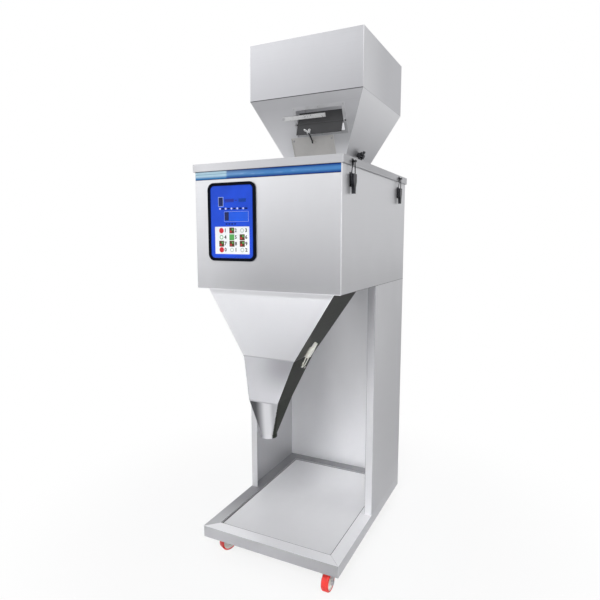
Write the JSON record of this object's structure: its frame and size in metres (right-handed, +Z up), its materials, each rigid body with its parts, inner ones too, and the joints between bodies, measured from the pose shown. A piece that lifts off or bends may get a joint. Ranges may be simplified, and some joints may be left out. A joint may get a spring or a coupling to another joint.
{
  "type": "weigh-type form fill seal filling machine",
  "caption": "Floor-standing weigh filler on casters: square hopper with a side valve, sheet body with keypad, vibrating feeder and weigh bucket inside, and a funnel to a round spout.",
  "frame": {"origin": "on the floor under the middle of the machine's outline", "axes": "+Z up, -Y towards the operator at the keypad and spout, +X to the operator's right"},
  "size_m": [0.531, 0.7294, 1.758],
  "materials": {
    "sheet_steel": "brushed stainless sheet",
    "deck_steel": "brushed stainless plate, lightly scuffed",
    "bright_steel": "plain stainless",
    "dark_steel": "dark grey satin",
    "inner_steel": "smooth stainless",
    "latch_steel": "dull plated",
    "knob_metal": "polished",
    "zinc_steel": "zinc plated",
    "tread_red": "matte polyurethane",
    "core_plastic": "matte cream",
    "black_plastic": "satin black",
    "keypad_film": "smooth film, blue and white",
    "box_paint": "grey powder coat",
    "rocker_plastic": "gloss red",
    "socket_metal": "nickel plated",
    "magnet_iron": "dark laminated iron",
    "spring_steel": "blued spring steel",
    "clear_acrylic": "clear acrylic, polished",
    "cell_aluminium": "machined"
  },
  "bodies": {
    "machine": {"base_frame": "sheet_steel", "deck_plate": "deck_steel", "caster_stems": "zinc_steel", "column_shell": "sheet_steel", "body_shell": "sheet_steel", "lid": "sheet_steel", "hopper": "sheet_steel", "valve_frame": "bright_steel", "valve_cover_plate": "bright_steel", "knob_stud": "bright_steel", "latch_plates": "latch_steel", "latch_hooks": "latch_steel", "funnel": "sheet_steel", "outlet": "sheet_steel", "panel_bezel": "black_plastic", "keypad_panel": "keypad_film", "control_box": "box_paint", "rear_panel": "sheet_steel", "power_inlet": "black_plastic", "inspection_pane": "clear_acrylic", "foot_switch_socket": "socket_metal", "inner_frame": "box_paint", "feeder_magnet": "magnet_iron", "feeder_springs": "spring_steel", "load_cell": "cell_aluminium", "bucket_hanger": "cell_aluminium", "weigh_bucket": "inner_steel"},
    "caster_1": {"caster_fork_1": "zinc_steel"},
    "wheel_1": {"wheel_core_1": "core_plastic", "wheel_tread_1": "tread_red"},
    "caster_2": {"caster_fork_2": "zinc_steel"},
    "wheel_2": {"wheel_core_2": "core_plastic", "wheel_tread_2": "tread_red"},
    "caster_3": {"caster_fork_3": "zinc_steel"},
    "wheel_3": {"wheel_core_3": "core_plastic", "wheel_tread_3": "tread_red"},
    "caster_4": {"caster_fork_4": "zinc_steel"},
    "wheel_4": {"wheel_core_4": "core_plastic", "wheel_tread_4": "tread_red"},
    "latch_lever_1": {"latch_lever_1": "latch_steel"},
    "latch_bail_1": {"latch_bail_1": "latch_steel"},
    "latch_lever_2": {"latch_lever_2": "latch_steel"},
    "latch_bail_2": {"latch_bail_2": "latch_steel"},
    "latch_lever_3": {"latch_lever_3": "latch_steel"},
    "latch_bail_3": {"latch_bail_3": "latch_steel"},
    "latch_lever_4": {"latch_lever_4": "latch_steel"},
    "latch_bail_4": {"latch_bail_4": "latch_steel"},
    "latch_lever_5": {"latch_lever_5": "latch_steel"},
    "latch_bail_5": {"latch_bail_5": "latch_steel"},
    "latch_lever_6": {"latch_lever_6": "latch_steel"},
    "latch_bail_6": {"latch_bail_6": "latch_steel"},
    "valve_flap": {"valve_flap": "dark_steel"},
    "catch_bar": {"catch_bar": "bright_steel"},
    "valve_stay": {"valve_stay": "bright_steel"},
    "wing_nut": {"wing_nut": "bright_steel"},
    "star_knob": {"star_knob": "knob_metal"},
    "power_rocker": {"power_rocker": "rocker_plastic"},
    "bucket_door_front": {"bucket_door_front": "inner_steel"},
    "bucket_door_back": {"bucket_door_back": "inner_steel"},
    "feeder_trough": {"feeder_trough": "inner_steel"}
  },
  "joints": [
    {"name": "caster_swivel_1", "type": "hinge", "parent": "machine", "child": "caster_1", "pos_m": [-0.205, -0.30375, 0.045], "axis": [0, 0, 1], "continuous": true},
    {"name": "wheel_spin_1", "type": "hinge", "parent": "caster_1", "child": "wheel_1", "pos_m": [-0.1957, -0.28381, 0.03], "axis": [-0.9063, 0.4226, 0], "continuous": true},
    {"name": "caster_swivel_2", "type": "hinge", "parent": "machine", "child": "caster_2", "pos_m": [0.205, -0.30375, 0.045], "axis": [0, 0, 1], "continuous": true},
    {"name": "wheel_spin_2", "type": "hinge", "parent": "caster_2", "child": "wheel_2", "pos_m": [0.205, -0.32575, 0.03], "axis": [1, 0, 0], "continuous": true},
    {"name": "caster_swivel_3", "type": "hinge", "parent": "machine", "child": "caster_3", "pos_m": [-0.205, 0.26625, 0.045], "axis": [0, 0, 1], "continuous": true},
    {"name": "wheel_spin_3", "type": "hinge", "parent": "caster_3", "child": "wheel_3", "pos_m": [-0.19748, 0.28692, 0.03], "axis": [-0.9397, 0.342, 0], "continuous": true},
    {"name": "caster_swivel_4", "type": "hinge", "parent": "machine", "child": "caster_4", "pos_m": [0.205, 0.26625, 0.045], "axis": [0, 0, 1], "continuous": true},
    {"name": "wheel_spin_4", "type": "hinge", "parent": "caster_4", "child": "wheel_4", "pos_m": [0.1957, 0.28619, 0.03], "axis": [-0.9063, -0.4226, 0], "continuous": true},
    {"name": "lever_swing_1", "type": "hinge", "parent": "machine", "child": "latch_lever_1", "pos_m": [0.2585, -0.28475, 1.272], "axis": [0, -1, 0], "range_deg": [0, 100]},
    {"name": "bail_swing_1", "type": "hinge", "parent": "latch_lever_1", "child": "latch_bail_1", "pos_m": [0.257, -0.28475, 1.258], "axis": [0, -1, 0], "range_deg": [-85, 0]},
    {"name": "lever_swing_2", "type": "hinge", "parent": "machine", "child": "latch_lever_2", "pos_m": [0.2585, 0.20625, 1.272], "axis": [0, -1, 0], "range_deg": [0, 100]},
    {"name": "bail_swing_2", "type": "hinge", "parent": "latch_lever_2", "child": "latch_bail_2", "pos_m": [0.257, 0.20625, 1.258], "axis": [0, -1, 0], "range_deg": [-85, 0]},
    {"name": "lever_swing_3", "type": "hinge", "parent": "machine", "child": "latch_lever_3", "pos_m": [-0.2585, -0.28475, 1.272], "axis": [0, 1, 0], "range_deg": [0, 100]},
    {"name": "bail_swing_3", "type": "hinge", "parent": "latch_lever_3", "child": "latch_bail_3", "pos_m": [-0.257, -0.28475, 1.258], "axis": [0, 1, 0], "range_deg": [-85, 0]},
    {"name": "lever_swing_4", "type": "hinge", "parent": "machine", "child": "latch_lever_4", "pos_m": [-0.2585, 0.20625, 1.272], "axis": [0, 1, 0], "range_deg": [0, 100]},
    {"name": "bail_swing_4", "type": "hinge", "parent": "latch_lever_4", "child": "latch_bail_4", "pos_m": [-0.257, 0.20625, 1.258], "axis": [0, 1, 0], "range_deg": [-85, 0]},
    {"name": "lever_swing_5", "type": "hinge", "parent": "machine", "child": "latch_lever_5", "pos_m": [0.10412, -0.25875, 0.72478], "axis": [0, 1, 0], "range_deg": [0, 100]},
    {"name": "bail_swing_5", "type": "hinge", "parent": "latch_lever_5", "child": "latch_bail_5", "pos_m": [0.11017, -0.25875, 0.73749], "axis": [0, 1, 0], "range_deg": [-85, 0]},
    {"name": "lever_swing_6", "type": "hinge", "parent": "machine", "child": "latch_lever_6", "pos_m": [-0.10412, -0.25875, 0.72478], "axis": [0, -1, 0], "range_deg": [0, 100]},
    {"name": "bail_swing_6", "type": "hinge", "parent": "latch_lever_6", "child": "latch_bail_6", "pos_m": [-0.11017, -0.25875, 0.73749], "axis": [0, -1, 0], "range_deg": [-85, 0]},
    {"name": "valve_flap_swing", "type": "hinge", "parent": "machine", "child": "valve_flap", "pos_m": [0.044, -0.04238, 1.48289], "axis": [1, 0, 0], "range_deg": [0, 43]},
    {"name": "catch_bar_swing", "type": "hinge", "parent": "machine", "child": "catch_bar", "pos_m": [-0.088, -0.05685, 1.50427], "axis": [0, -0.9051, -0.4252], "range_deg": [0, 60]},
    {"name": "valve_stay_swing", "type": "hinge", "parent": "machine", "child": "valve_stay", "pos_m": [0.006, -0.01693, 1.42635], "axis": [1, 0, 0], "range_deg": [0, 100]},
    {"name": "wing_nut_turn", "type": "hinge", "parent": "valve_stay", "child": "wing_nut", "pos_m": [0.006, -0.05552, 1.45422], "axis": [0, -0.8107, 0.5855], "continuous": true},
    {"name": "star_knob_turn", "type": "hinge", "parent": "machine", "child": "star_knob", "pos_m": [0.12586, 0.11325, 1.39311], "axis": [0.903, 0, -0.4297], "continuous": true},
    {"name": "power_rocker_tilt", "type": "hinge", "parent": "machine", "child": "power_rocker", "pos_m": [0.092, 0.317, 1.065], "axis": [1, 0, 0], "range_deg": [-16, 0]},
    {"name": "bucket_door_front_swing", "type": "hinge", "parent": "machine", "child": "bucket_door_front", "pos_m": [0, -0.30275, 1.036], "axis": [1, 0, 0], "range_deg": [-55, 0], "stiffness_Nm_per_rad": 0.15, "springref_deg": 51.57},
    {"name": "bucket_door_back_swing", "type": "hinge", "parent": "machine", "child": "bucket_door_back", "pos_m": [0, -0.18475, 1.036], "axis": [1, 0, 0], "range_deg": [0, 55], "stiffness_Nm_per_rad": 0.15, "springref_deg": -51.57},
    {"name": "feeder_throw", "type": "slide", "parent": "machine", "child": "feeder_trough", "axis": [0, -0.979, 0.204], "range_m": [-0.001, 0.001], "stiffness_N_per_m": 20000, "springref_m": 0.0003, "deforming": ["feeder_springs"]}
  ],
  "couplings": [
    {"joint": "bail_swing_1", "follows": "lever_swing_1", "ratio": -0.85},
    {"joint": "bail_swing_2", "follows": "lever_swing_2", "ratio": -0.85},
    {"joint": "bail_swing_3", "follows": "lever_swing_3", "ratio": -0.85},
    {"joint": "bail_swing_4", "follows": "lever_swing_4", "ratio": -0.85},
    {"joint": "bail_swing_5", "follows": "lever_swing_5", "ratio": -0.85},
    {"joint": "bail_swing_6", "follows": "lever_swing_6", "ratio": -0.85},
    {"joint": "bucket_door_back_swing", "follows": "bucket_door_front_swing", "ratio": -1}
  ]
}
